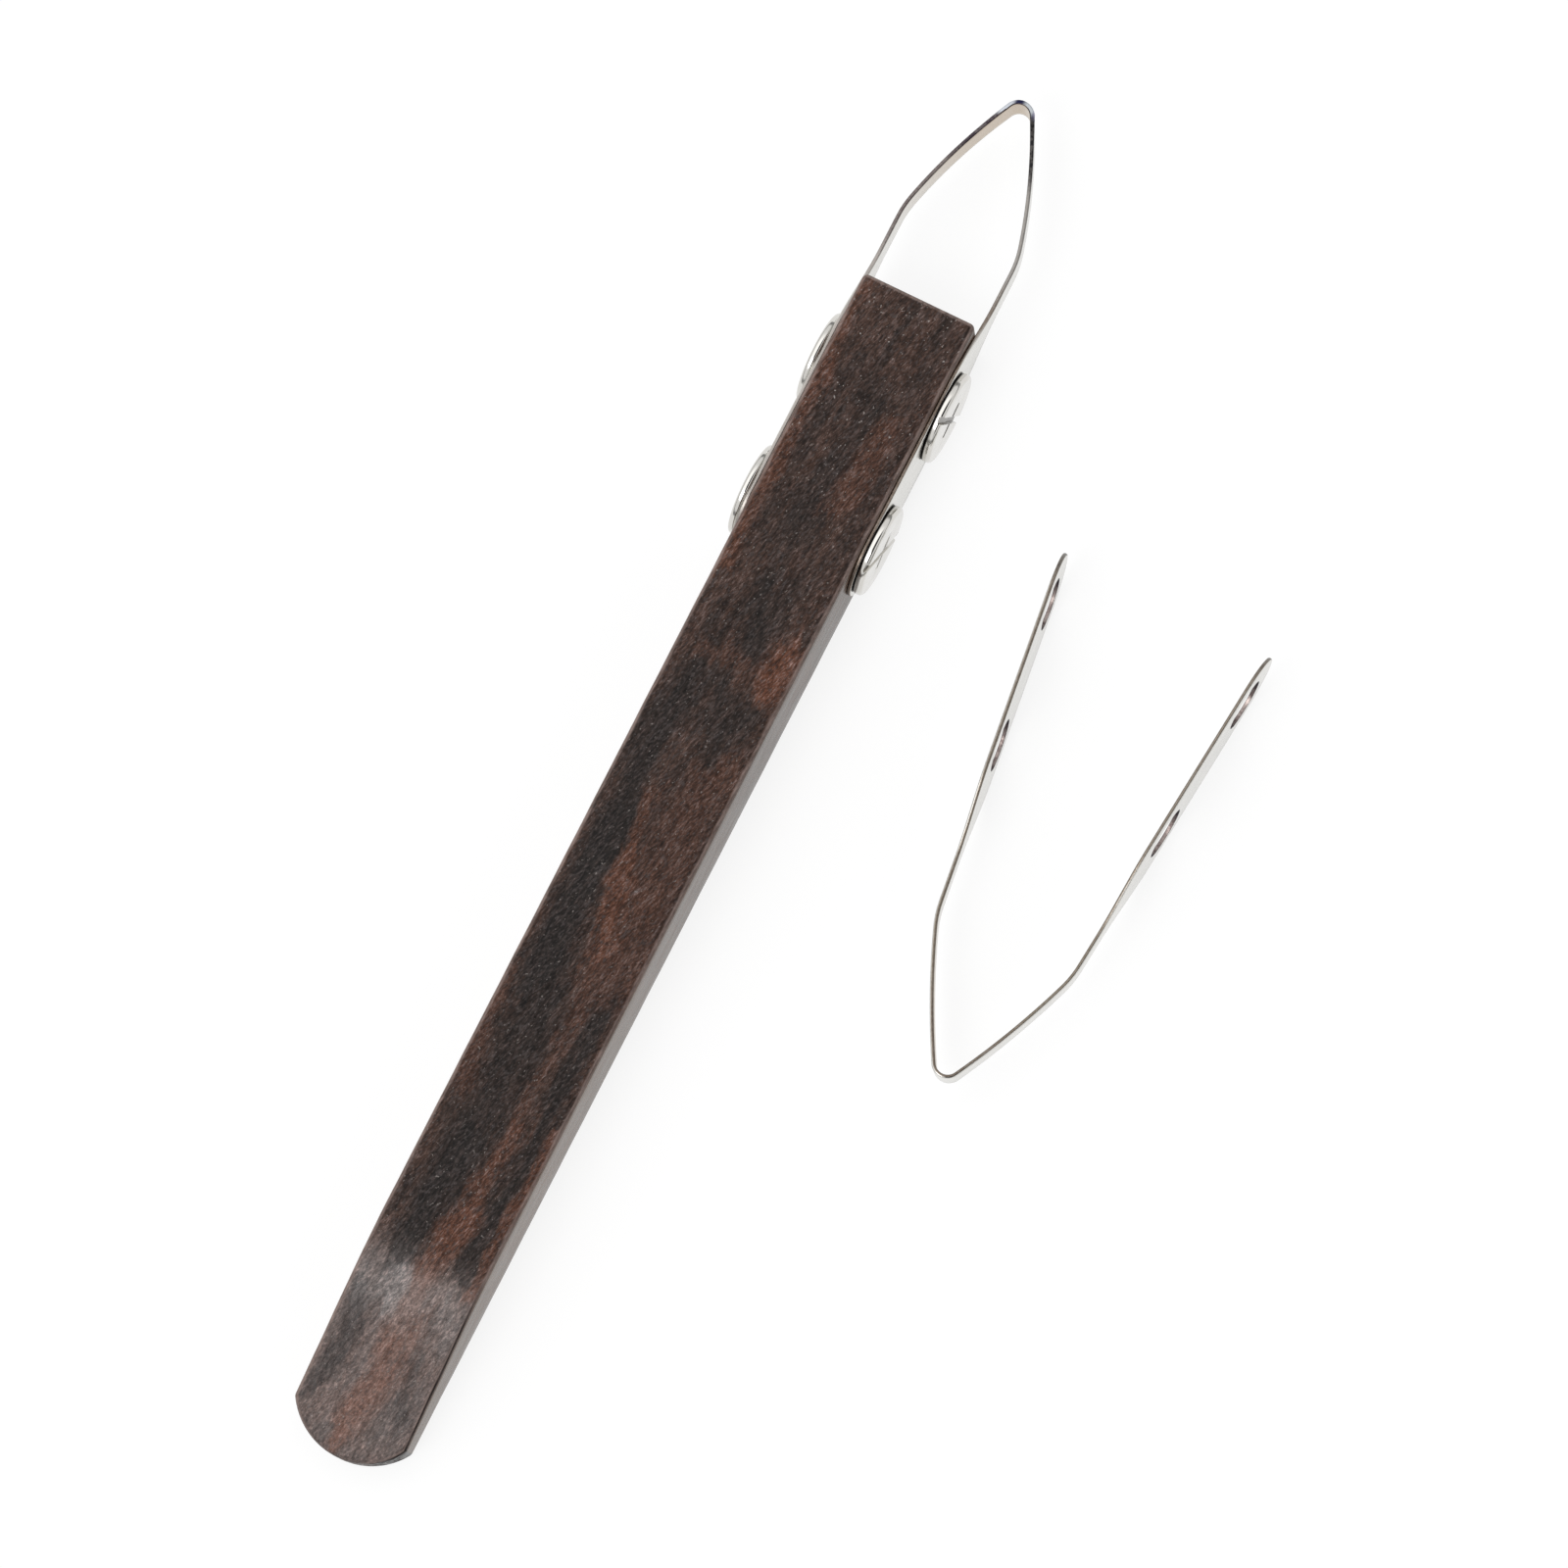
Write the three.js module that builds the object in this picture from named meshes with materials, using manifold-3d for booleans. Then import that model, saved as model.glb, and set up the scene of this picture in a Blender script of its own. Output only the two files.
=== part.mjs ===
// Pottery trimming tool: a steel strip bent to a pointed arch, clamped to the sides of a flat
// wooden handle by two binding posts and their screws, with a spare strip standing beside it.
// Millimetres, +Z up, +Y towards the arch's crown. The origin is the middle of the handle's underside.

import * as THREE from 'three';
import { mergeVertices } from 'three/addons/utils/BufferGeometryUtils.js';
import Module from 'manifold-3d';

const wasm = await Module();
wasm.setup();

// Handle
const handleLength = 127.5;
const handleWidth = 12.4;
const headThickness = 10.7;
const facetThickness = 9.4; // where the facet on the butt starts
const buttThickness = 3.9;
const facetLength = 20.6;
const facetRollRadius = 40; // the top rolls over into the facet on this radius
const handleEdgeRadius = 0.5;
const buttArcRadius = 7.2;
const buttCornerRadius = 0.7;

// Strip, the same for the mounted blade and the spare
const stripThickness = 0.4;
const crownWidth = 3.9;
const neckWidth = 3.2;
const legWidth = 9.1;
const crownRadius = 1.4; // bends are given at the strip's middle
const shoulderRadius = 10.5;
const relaxedCrownHalfAngle = degrees(29.3);
const relaxedArmBow = degrees(8.7);
const shoulderBend = degrees(14.5);
const crownShareOfSqueeze = 0.3; // the arms' bow takes the rest when the legs are pressed parallel
const holeReach = 15.9; // from the shoulder to the nearer hole
const mountedCrownLean = -0.25; // the mounted crown stands this far off the handle's middle
const flareLength = 9.5;
const flareToHole = 2.9; // the leg has its full width this far before the nearer hole
const legEndMargin = 5.3; // from the farther hole to the leg's round end
const edgeBreak = 0.05;
const crownBevelDrop = 0.2; // the crown's outer top edge is ground down by this much
const crownBevelLand = 0.08; // flat that is left on the crown's top edge
const crownBevelReach = 4;

// Binding posts and screws
const postInset = 8.7; // from the handle's head end to the first post
const postPitch = 15;
const postHeight = 5.3; // axis above the handle's underside
const barrelRadius = 2.5;
const barrelTipGap = 0.7; // the barrel ends this far short of the screw's head
const threadRadius = 1.75;
const threadLength = 6;
const threadBoreDepth = 9;
const screwHeadRadius = 4.85;
const screwHeadThickness = 0.95;
const postHeadThickness = 0.8;
const headRimRadius = 0.42;
const headFootRadius = 0.3;
const slotWidth = 1;
const slotDepth = 0.45;
const crossArmLength = 4.6;
const slotTurns = [degrees(16), degrees(36)]; // how far each screw's slot leans from upright

// Clearances
const boreClearance = 0.1; // barrel in the wood
const holeClearance = 0.2; // barrel in the strip
const threadClearance = 0.1;

// Where the spare stands: its crown, from the handle's head end, and the turn about +Z. Its crown
// was bent off the middle of the blank, so its two legs reach differently far.
const spareAcross = 36.4;
const spareBehindHead = 67.8;
const spareTurn = degrees(181.2);
const spareHoleReaches = [holeReach - 0.1, holeReach + 0.9];

// Facet counts
const roundSteps = 40;
const bendSteps = 8;
const cornerSteps = 3;
const mergeDistance = 1e-5;

const headEnd = handleLength / 2;
const buttEnd = -handleLength / 2;
const clampHalfWidth = handleWidth / 2 + stripThickness; // out to the face that a screw head bears on

function degrees(angle) {
  return angle * Math.PI / 180;
}

// Solids in and out of the boolean library

function solidFrom(geometry) {
  const bare = geometry.clone();
  bare.deleteAttribute('normal');
  bare.deleteAttribute('uv');
  const merged = mergeVertices(bare, mergeDistance);
  const corners = merged.index.array;
  const kept = [];
  for (let k = 0; k < corners.length; k += 3) {
    const [a, b, c] = corners.slice(k, k + 3);
    if (a !== b && b !== c && c !== a) kept.push(a, b, c);
  }
  return new wasm.Manifold(new wasm.Mesh({
    numProp: 3,
    vertProperties: Float32Array.from(merged.attributes.position.array),
    triVerts: Uint32Array.from(kept),
  }));
}

function geometryFrom(solid) {
  const mesh = solid.getMesh();
  const geometry = new THREE.BufferGeometry();
  geometry.setAttribute('position', new THREE.BufferAttribute(mesh.vertProperties, 3));
  geometry.setIndex(new THREE.BufferAttribute(mesh.triVerts, 1));
  geometry.computeVertexNormals();
  return geometry;
}

function named(name, solid, material) {
  const mesh = new THREE.Mesh(geometryFrom(solid), material);
  mesh.name = name;
  return mesh;
}

// A closed solid through rings of points. Each ring runs anticlockwise about the way of travel.
function loft(rings) {
  const count = rings[0].length;
  const points = rings.flat().flatMap((point) => [point.x, point.y, point.z]);
  const faces = [];
  for (let ring = 0; ring + 1 < rings.length; ring++) {
    for (let k = 0; k < count; k++) {
      const a = ring * count + k;
      const b = ring * count + (k + 1) % count;
      faces.push(a, b, b + count, a, b + count, a + count);
    }
  }
  const last = (rings.length - 1) * count;
  for (let k = 1; k + 1 < count; k++) {
    faces.push(0, k + 1, k);
    faces.push(last, last + k, last + k + 1);
  }
  const geometry = new THREE.BufferGeometry();
  geometry.setAttribute('position', new THREE.Float32BufferAttribute(points, 3));
  geometry.setIndex(faces);
  return solidFrom(geometry);
}

// A shape drawn on the plane of two directions, thickened both ways from it
function plate(shape, origin, across, along, thickness) {
  const geometry = new THREE.ExtrudeGeometry(shape, {
    depth: thickness,
    bevelEnabled: false,
    curveSegments: roundSteps / 4,
  });
  geometry.translate(0, 0, -thickness / 2);
  const normal = new THREE.Vector3().crossVectors(across, along);
  geometry.applyMatrix4(new THREE.Matrix4().makeBasis(across, along, normal).setPosition(origin));
  return solidFrom(geometry);
}

function rod(radius, length, centre, direction) {
  const geometry = new THREE.CylinderGeometry(radius, radius, length, roundSteps);
  const turn = new THREE.Quaternion().setFromUnitVectors(new THREE.Vector3(0, 1, 0), direction);
  geometry.applyQuaternion(turn);
  geometry.translate(centre.x, centre.y, centre.z);
  return solidFrom(geometry);
}

// Handle

// Height of the top face, from the head: a straight taper, a roll, then the facet down to the butt
function handleTop() {
  const start = new THREE.Vector2(headEnd, headThickness);
  const corner = new THREE.Vector2(buttEnd + facetLength, facetThickness);
  const end = new THREE.Vector2(buttEnd, buttThickness);
  const taper = corner.clone().sub(start).normalize();
  const facet = end.clone().sub(corner).normalize();
  const bend = Math.acos(taper.dot(facet));
  const reach = facetRollRadius * Math.tan(bend / 2);
  const rollStart = corner.clone().addScaledVector(taper, -reach);
  const inward = new THREE.Vector2(-taper.y, taper.x);
  const centre = rollStart.clone().addScaledVector(inward, facetRollRadius);
  const points = [];
  for (let k = 0; k <= bendSteps; k++) {
    const spoke = inward.clone().multiplyScalar(-facetRollRadius);
    points.push(centre.clone().add(spoke.rotateAround(new THREE.Vector2(), bend * k / bendSteps)));
  }
  points.push(end.clone().addScaledVector(facet, 1));
  return points;
}

// A rounded rectangle across the handle. The centres of its corners stay where they are.
function handleSection(y, top, cornerRadius) {
  const ring = [];
  const side = handleWidth / 2 - handleEdgeRadius;
  const low = handleEdgeRadius;
  const high = top - handleEdgeRadius;
  [[high, side], [low, side], [low, -side], [high, -side]].forEach(([z, x], quarter) => {
    for (let k = 0; k <= cornerSteps; k++) {
      const angle = (quarter + k / cornerSteps) * Math.PI / 2;
      const dx = cornerRadius * Math.sin(angle);
      const dz = cornerRadius * Math.cos(angle);
      ring.push(new THREE.Vector3(x + dx, y, z + dz));
    }
  });
  return ring;
}

// The butt's round end seen from above, running on past the head
function handlePlan() {
  const side = handleWidth / 2;
  const inner = buttArcRadius - buttCornerRadius;
  const cornerX = side - buttCornerRadius;
  const slope = Math.acos(cornerX / inner);
  const arcY = buttEnd + buttArcRadius;
  const cornerY = arcY - inner * Math.sin(slope);
  const plan = new THREE.Shape();
  plan.moveTo(side + 1, headEnd + 1);
  plan.lineTo(-side - 1, headEnd + 1);
  plan.lineTo(-side - 1, cornerY);
  plan.absarc(-cornerX, cornerY, buttCornerRadius, Math.PI, Math.PI + slope);
  plan.absarc(0, arcY, buttArcRadius, Math.PI + slope, 2 * Math.PI - slope);
  plan.absarc(cornerX, cornerY, buttCornerRadius, 2 * Math.PI - slope, 2 * Math.PI);
  plan.lineTo(side + 1, cornerY);
  return plan;
}

function makeHandle() {
  const rings = handleTop().reverse().map((point) => handleSection(point.x, point.y, handleEdgeRadius));
  for (let k = 0; k <= cornerSteps; k++) {
    const angle = Math.PI / 2 * k / cornerSteps;
    const y = headEnd - handleEdgeRadius + handleEdgeRadius * Math.sin(angle);
    rings.push(handleSection(y, headThickness, handleEdgeRadius * Math.cos(angle)));
  }
  const across = new THREE.Vector3(1, 0, 0);
  const along = new THREE.Vector3(0, 1, 0);
  const outline = plate(handlePlan(), new THREE.Vector3(), across, along, 4 * headThickness);
  let handle = loft(rings).intersect(outline);
  for (const y of postPlaces()) {
    const centre = new THREE.Vector3(0, y, postHeight);
    handle = handle.subtract(rod(barrelRadius + boreClearance, 2 * handleWidth, centre, across));
  }
  return handle;
}

function postPlaces() {
  return [headEnd - postInset, headEnd - postInset - postPitch];
}

// Strip

// How one half of the strip bends, from the crown out to the leg. A heading of 0 runs across the
// crown and a quarter turn runs straight down the leg.
function stripBends(squeeze) {
  const splay = relaxedCrownHalfAngle - relaxedArmBow - shoulderBend;
  const crownHalfAngle = relaxedCrownHalfAngle - squeeze * crownShareOfSqueeze * splay;
  const armBow = relaxedArmBow + squeeze * (1 - crownShareOfSqueeze) * splay;
  const armStart = Math.PI / 2 - crownHalfAngle;
  const armEnd = armStart + armBow;
  return { armStart, armEnd, legHeading: armEnd + shoulderBend };
}

// The arms are as long as it takes to bring the squeezed legs onto the handle's sides
function armLength() {
  const { armStart, armEnd, legHeading } = stripBends(1);
  const crownRun = crownRadius * Math.sin(armStart);
  const shoulderRun = shoulderRadius * (Math.sin(legHeading) - Math.sin(armEnd));
  const armRun = (Math.sin(armEnd) - Math.sin(armStart)) / (armEnd - armStart);
  return (handleWidth / 2 + stripThickness / 2 - crownRun - shoulderRun) / armRun;
}

// Stations down one half: place, heading and distance from the crown. The crown is at x 0, y 0.
function stripHalf(squeeze, reachToHole) {
  const { armStart, armEnd, legHeading } = stripBends(squeeze);
  const legLength = reachToHole + postPitch + legEndMargin;
  const flareStart = reachToHole - flareToHole - flareLength;
  const flareStops = Array.from({ length: bendSteps + 1 }, (_, k) => k / bendSteps);
  const legStops = [...flareStops.map((f) => flareStart + f * flareLength), legLength + 1];
  const pieces = [
    { from: 0, to: armStart, length: crownRadius * armStart, stops: bendSteps },
    { from: armStart, to: armEnd, length: armLength(), stops: bendSteps },
    { from: armEnd, to: legHeading, length: shoulderRadius * (legHeading - armEnd), stops: bendSteps },
  ];
  const stations = [{ x: 0, y: 0, heading: 0, reach: 0 }];
  const step = (length, heading) => {
    const last = stations.at(-1);
    const middle = (last.heading + heading) / 2;
    const turn = heading - last.heading;
    const chord = turn === 0 ? length : length * Math.sin(turn / 2) / (turn / 2);
    const x = last.x + chord * Math.cos(middle);
    const y = last.y - chord * Math.sin(middle);
    stations.push({ x, y, heading, reach: last.reach + length });
  };
  for (const { from, to, length, stops } of pieces) {
    for (let k = 1; k <= stops; k++) step(length / stops, from + (to - from) * k / stops);
  }
  const shoulder = stations.at(-1);
  let done = 0;
  for (const stop of legStops) {
    step(stop - done, legHeading);
    done = stop;
  }
  for (const station of stations) {
    const towardsCrown = Math.max(0, 1 - station.reach / shoulder.reach);
    const downLeg = station.reach - shoulder.reach;
    const flare = THREE.MathUtils.smoothstep(downLeg, flareStart, flareStart + flareLength);
    const crownPart = (crownWidth - neckWidth) * towardsCrown ** 2;
    station.width = neckWidth + crownPart + (legWidth - neckWidth) * flare;
    station.rise = Math.max(0, 1 - station.y / shoulder.y);
  }
  return { stations, shoulder, legLength };
}

// The section: a thin rectangle whose outer top edge is broken, and ground to a bevel at the crown
function stripSection({ x, y, heading, reach, width, rise }, side, lean) {
  const half = stripThickness / 2;
  const height = width / 2;
  const grind = 1 - THREE.MathUtils.smoothstep(reach, 0, crownBevelReach);
  const drop = edgeBreak + (crownBevelDrop - edgeBreak) * grind;
  const run = edgeBreak + (stripThickness - crownBevelLand - edgeBreak) * grind;
  const inner = [[-half, height], [-half, -height]];
  const outer = [[half, -height], [half, height - drop], [half - run, height]];
  const normal = new THREE.Vector3(Math.sin(heading) * side, Math.cos(heading), 0);
  const middle = x * side + lean * rise;
  const place = ([out, z]) => new THREE.Vector3(middle, y, z).addScaledVector(normal, out);
  return [...inner, ...outer].map(place);
}

// The blank is bent first, then its legs are drilled and their ends rounded
function makeStrip(squeeze, [leftReach, rightReach], lean) {
  const left = stripHalf(squeeze, leftReach);
  const right = stripHalf(squeeze, rightReach);
  const leftStations = left.stations.slice(1).reverse();
  const leftRings = leftStations.map((station) => stripSection(station, -1, lean));
  const rightRings = right.stations.map((station) => stripSection(station, 1, lean));
  let strip = loft([...leftRings, ...rightRings]);
  const up = new THREE.Vector3(0, 0, 1);
  const legs = [[-1, leftReach, left], [1, rightReach, right]];
  for (const [side, reachToHole, { shoulder, legLength }] of legs) {
    const along = new THREE.Vector3(Math.cos(shoulder.heading) * side, -Math.sin(shoulder.heading), 0);
    const out = new THREE.Vector3(Math.sin(shoulder.heading) * side, Math.cos(shoulder.heading), 0);
    const start = new THREE.Vector3(shoulder.x * side, shoulder.y, 0);
    for (const reach of [reachToHole, reachToHole + postPitch]) {
      const centre = start.clone().addScaledVector(along, reach);
      strip = strip.subtract(rod(barrelRadius + holeClearance, 4 * stripThickness, centre, out));
    }
    strip = strip.subtract(plate(legEndCutter(legLength), start, up, along, 4 * stripThickness));
  }
  return strip;
}

// What a half-round end leaves to cut away, drawn across the leg and down it
function legEndCutter(legLength) {
  const radius = legWidth / 2;
  const outside = radius + 1;
  const spring = legLength - radius;
  const cutter = new THREE.Shape();
  cutter.moveTo(radius, spring);
  cutter.absarc(0, spring, radius, 0, Math.PI);
  cutter.lineTo(-outside, spring);
  cutter.lineTo(-outside, legLength + 2);
  cutter.lineTo(outside, legLength + 2);
  cutter.lineTo(outside, spring);
  return cutter;
}

// Binding posts and screws, turned about +Y with the head's bearing face at y 0 and the head above it

function headProfile(innerRadius, thickness) {
  const rim = screwHeadRadius - headRimRadius;
  const foot = screwHeadRadius - headFootRadius;
  const points = [new THREE.Vector2(innerRadius, 0)];
  for (let k = 0; k <= cornerSteps; k++) {
    const angle = Math.PI / 2 * k / cornerSteps;
    points.push(new THREE.Vector2(
      foot + headFootRadius * Math.sin(angle),
      headFootRadius - headFootRadius * Math.cos(angle),
    ));
  }
  for (let k = 0; k <= 2 * cornerSteps; k++) {
    const angle = Math.PI / 2 * k / (2 * cornerSteps);
    points.push(new THREE.Vector2(
      rim + headRimRadius * Math.cos(angle),
      thickness - headRimRadius + headRimRadius * Math.sin(angle),
    ));
  }
  points.push(new THREE.Vector2(0, thickness));
  return points;
}

function turned(profile) {
  return solidFrom(new THREE.LatheGeometry(profile, roundSteps));
}

function makePost() {
  const barrelLength = 2 * clampHalfWidth - barrelTipGap;
  const bore = threadRadius + threadClearance;
  return turned([
    new THREE.Vector2(0, -barrelLength + threadBoreDepth),
    new THREE.Vector2(bore, -barrelLength + threadBoreDepth),
    new THREE.Vector2(bore, -barrelLength),
    new THREE.Vector2(barrelRadius, -barrelLength),
    ...headProfile(barrelRadius, postHeadThickness),
  ]);
}

function makeScrew(slotTurn) {
  const shank = turned([
    new THREE.Vector2(0, -threadLength),
    new THREE.Vector2(threadRadius, -threadLength),
    ...headProfile(threadRadius, screwHeadThickness),
  ]);
  const slot = new THREE.BoxGeometry(slotWidth, 2 * slotDepth, 3 * screwHeadRadius);
  const arm = new THREE.BoxGeometry(crossArmLength, 2 * slotDepth, slotWidth);
  let screw = shank;
  for (const cut of [slot, arm]) {
    cut.rotateY(slotTurn);
    cut.translate(0, screwHeadThickness, 0);
    screw = screw.subtract(solidFrom(cut));
  }
  return screw;
}

// Finishes

const wood = new THREE.MeshStandardMaterial({ color: 0x3e302b, roughness: 0.55, metalness: 0 });
const springSteel = new THREE.MeshStandardMaterial({ color: 0xc4c1bb, roughness: 0.3, metalness: 1 });
const nickelPlate = new THREE.MeshStandardMaterial({ color: 0xd9d6cf, roughness: 0.12, metalness: 1 });

// Assembly

const tool = new THREE.Group();
tool.add(named('handle', makeHandle(), wood));

const { shoulder } = stripHalf(1, holeReach);
const bladeStrip = makeStrip(1, [holeReach, holeReach], mountedCrownLean);
const blade = named('blade', bladeStrip, springSteel);
blade.position.set(0, postPlaces()[0] + holeReach - shoulder.y, postHeight);
tool.add(blade);

postPlaces().forEach((y, k) => {
  const post = named(`post_${k + 1}`, makePost(), nickelPlate);
  post.rotation.z = Math.PI / 2;
  post.position.set(-clampHalfWidth, y, postHeight);
  const screw = named(`screw_${k + 1}`, makeScrew(slotTurns[k]), nickelPlate);
  screw.rotation.z = -Math.PI / 2;
  screw.position.set(clampHalfWidth, y, postHeight);
  tool.add(post, screw);
});

const spare = named('spare_blade', makeStrip(0, spareHoleReaches, 0), springSteel);
spare.rotation.z = spareTurn;
spare.position.set(spareAcross, headEnd - spareBehindHead, legWidth / 2);
tool.add(spare);

export default tool;
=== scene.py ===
import math

import bmesh
import bpy
from mathutils import Matrix, Vector


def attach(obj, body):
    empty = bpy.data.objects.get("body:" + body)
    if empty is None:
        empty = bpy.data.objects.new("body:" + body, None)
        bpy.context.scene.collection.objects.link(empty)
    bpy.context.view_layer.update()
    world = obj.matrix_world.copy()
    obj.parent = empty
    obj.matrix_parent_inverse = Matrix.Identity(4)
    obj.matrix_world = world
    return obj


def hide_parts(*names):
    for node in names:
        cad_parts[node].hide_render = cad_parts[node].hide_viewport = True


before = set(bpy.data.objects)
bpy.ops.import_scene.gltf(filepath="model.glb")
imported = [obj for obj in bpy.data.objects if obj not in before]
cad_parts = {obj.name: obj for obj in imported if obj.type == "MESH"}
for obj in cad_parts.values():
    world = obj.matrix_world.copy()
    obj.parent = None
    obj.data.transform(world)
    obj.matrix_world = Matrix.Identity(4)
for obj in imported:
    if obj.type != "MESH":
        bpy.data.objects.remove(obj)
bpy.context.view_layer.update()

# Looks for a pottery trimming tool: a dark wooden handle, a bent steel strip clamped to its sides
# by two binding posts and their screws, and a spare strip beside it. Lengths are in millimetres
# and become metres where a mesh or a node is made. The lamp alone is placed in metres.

MM = 0.001

# Handle
HANDLE_LENGTH = 127.5
HANDLE_WIDTH = 12.4
HEAD_THICKNESS = 10.7
FACET_THICKNESS = 9.4  # where the facet on the butt starts
BUTT_THICKNESS = 3.9
FACET_LENGTH = 20.6
FACET_ROLL_RADIUS = 40
EDGE_RADIUS = 0.5
BUTT_ARC_RADIUS = 7.2
BUTT_CORNER_RADIUS = 0.7
HEAD_CORNER_RADIUS = 0.6
EDGE_WAVER = 0.12  # share by which the broken edges waver along the handle
EDGE_WAVES = (0.9, 0.23)  # the wavering's two rates, in radians a millimetre
HEAD_END = HANDLE_LENGTH / 2
BUTT_END = -HANDLE_LENGTH / 2

# Strip
STRIP_THICKNESS = 0.4
CROWN_WIDTH = 3.9
NECK_WIDTH = 3.2
LEG_WIDTH = 9.1
CROWN_RADIUS = 1.4
SHOULDER_RADIUS = 10.5
RELAXED_HALF_ANGLE = math.radians(29.3)
RELAXED_ARM_BOW = math.radians(8.7)
SHOULDER_BEND = math.radians(14.5)
CROWN_SHARE = 0.3  # of the legs' squeeze, where the arms' bow takes the rest
HOLE_REACH = 15.9  # from the shoulder to the nearer hole
MOUNTED_LEAN = -0.25  # the mounted crown stands this far off the handle's middle
FLARE_LENGTH = 9.5
FLARE_TO_HOLE = 2.9  # the leg has its full width this far before the nearer hole
LEG_END_MARGIN = 5.3  # from the farther hole to the leg's round end
GRIND_DROP = 0.22  # the crown's outer top edge is ground down by this much
GRIND_LIP = 0.12  # and stands out by this much
GRIND_REACH = 5
USED_GRIND, NEW_GRIND = 1.0, 0.15  # how much of the grind a strip's crown has
USED_EDGE_RADIUS, NEW_EDGE_RADIUS = 0.1, 0.15
HOLE_LAND = 0.15  # beyond this height from the strip's middle a hole's mouth is broken

# Posts and screws
POST_INSET = 8.7  # from the handle's head end to the first post
POST_PITCH = 15
POST_HEIGHT = 5.3  # axis above the handle's underside
BARREL_RADIUS = 2.5
BARREL_TIP_GAP = 0.7  # the barrel ends this far short of the screw's head
THREAD_RADIUS = 1.75
THREAD_LENGTH = 6
THREAD_BORE_DEPTH = 9
THREAD_PITCH = 0.5  # finer than the 0.7 mm a turn that the joints take
THREAD_HEIGHT = 0.15
THREAD_NECK = 0.4  # plain shank under the head
THREAD_FADE = 0.5  # the thread runs in and out over this length
THREAD_CLEARANCE = 0.1
BARREL_CHAMFER = 0.15
HEAD_RADIUS = 4.85
SCREW_HEAD_HEIGHT = 0.95
POST_HEAD_HEIGHT = 0.8
FOOT_RISE, FOOT_RUN = 0.36, 0.3  # the rounding under a head: share of its height, and width
RIM_DROP, RIM_RUN = 0.44, 0.42  # the rounding over its rim
SLOT_WIDTH = 0.8
SLOT_DEPTH = 0.45
SLOT_EDGE = 0.06  # width of the rounding along a slot
CROSS_DEPTH = 0.07
CROSS_LENGTH = 3.8
SLOT_TURNS = (math.radians(16), math.radians(36))  # how far each slot leans from upright
BORE_CLEARANCE = 0.1
HOLE_CLEARANCE = 0.2
CLAMP = HANDLE_WIDTH / 2 + STRIP_THICKNESS  # out to the face that a head bears on
POST_PLACES = (HEAD_END - POST_INSET, HEAD_END - POST_INSET - POST_PITCH)

# Where the spare strip's crown stands, its turn about +Z, and its legs' own reaches
SPARE_ACROSS = 36.4
SPARE_BEHIND_HEAD = 67.8
SPARE_TURN = math.radians(181.2)
SPARE_REACHES = (HOLE_REACH - 0.1, HOLE_REACH + 0.9)

# How finely the shapes are divided
QUARTER_STEPS = 24  # a quarter turn of a large round end
CORNER_STEPS = 8
RIM_STEPS = 12
HANDLE_EDGE_STEPS = 5
HANDLE_WALL_STEPS = 6
HANDLE_ROWS = 150
HANDLE_COLUMNS = 14
STRIP_EDGE_STEPS = 3
STRIP_WALL_STEPS = 4
STRIP_COLUMNS = 6
CROWN_STRETCH = 1.2 * CROWN_RADIUS  # the closest stations reach just past the crown's bend
STRIP_GAPS = (0.12, 0.25, 0.5, 0.4, 0.5, 1.5)  # between stations, from the crown to the leg's end
BORE_SIDES, HOLE_SIDES = 64, 72
POST_SIDES, SCREW_SIDES = 96, 64
THREAD_ROWS = 96
WELD = 1e-4  # points closer than this are one

# Degrees between two faces above which shading breaks, and a screw's edges are rounded
HANDLE_SMOOTH_ANGLE = 40
METAL_SMOOTH_ANGLE = 35
SLOT_BEVEL_ANGLE = 50


# Meshes

def add_object(name, bm, materials, matrix=None):
    """Turns millimetres into metres and puts the mesh in the scene."""
    bmesh.ops.scale(bm, vec=(MM, MM, MM), verts=bm.verts)
    bmesh.ops.recalc_face_normals(bm, faces=bm.faces)
    mesh = bpy.data.meshes.new(name)
    bm.to_mesh(mesh)
    bm.free()
    obj = bpy.data.objects.new(name, mesh)
    bpy.context.scene.collection.objects.link(obj)
    if matrix is not None:
        obj.matrix_world = matrix
    for material in materials:
        mesh.materials.append(material)
    return obj


def shade(obj, angle):
    """Smooth shading, broken where two faces meet at more than the angle in degrees."""
    obj.data.shade_smooth()
    bpy.context.view_layer.objects.active = obj
    for other in bpy.context.selected_objects:
        other.select_set(False)
    obj.select_set(True)
    bpy.ops.object.shade_smooth_by_angle(angle=math.radians(angle))


def settle(obj):
    """Applies an object's modifiers to its mesh."""
    bpy.context.view_layer.update()
    shown = obj.evaluated_get(bpy.context.evaluated_depsgraph_get())
    mesh = bpy.data.meshes.new_from_object(shown)
    old = obj.data
    obj.modifiers.clear()
    obj.data = mesh
    bpy.data.meshes.remove(old)


def cut(obj, cutters):
    """Takes the cutters away from the object and deletes them."""
    for cutter in cutters:
        modifier = obj.modifiers.new("cut", "BOOLEAN")
        modifier.operation = "DIFFERENCE"
        modifier.solver = "EXACT"
        modifier.object = cutter
    settle(obj)
    for cutter in cutters:
        bpy.data.objects.remove(cutter)


def bevel(obj, width, segments, angle):
    modifier = obj.modifiers.new("bevel", "BEVEL")
    modifier.width = width * MM
    modifier.segments = segments
    modifier.limit_method = "ANGLE"
    modifier.angle_limit = math.radians(angle)
    settle(obj)


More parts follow.
